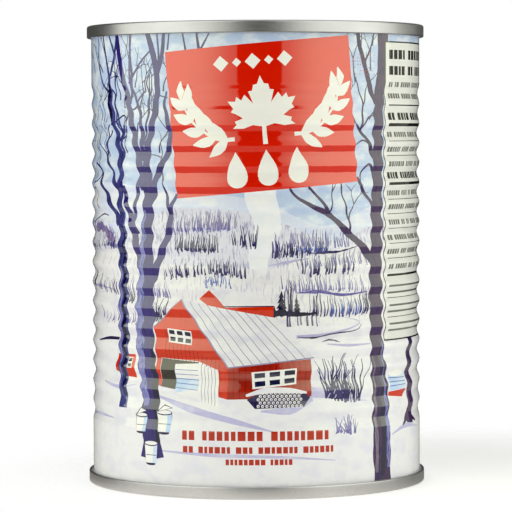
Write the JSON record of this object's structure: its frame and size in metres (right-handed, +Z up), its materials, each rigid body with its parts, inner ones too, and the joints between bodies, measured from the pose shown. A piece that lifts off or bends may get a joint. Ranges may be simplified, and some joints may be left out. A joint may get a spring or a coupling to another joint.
{
  "type": "maple syrup tin",
  "caption": "Shut cylindrical food tin, filled with syrup: beaded printed wall, double-seamed tinplate ends with a countersink and stepped centre panel.",
  "frame": {"origin": "centre of the base, on the surface that the tin stands on", "axes": "+Z up along the tin's axis, -Y out of the middle of the printed front, +X to the right of that front"},
  "size_m": [0.0859, 0.0858, 0.116],
  "materials": {
    "printed_wall": "printed inks under gloss varnish",
    "tinplate": "bright tinplate"
  },
  "bodies": {
    "root": {"body": "printed_wall", "top_end": "tinplate", "bottom_end": "tinplate"}
  },
  "joints": []
}
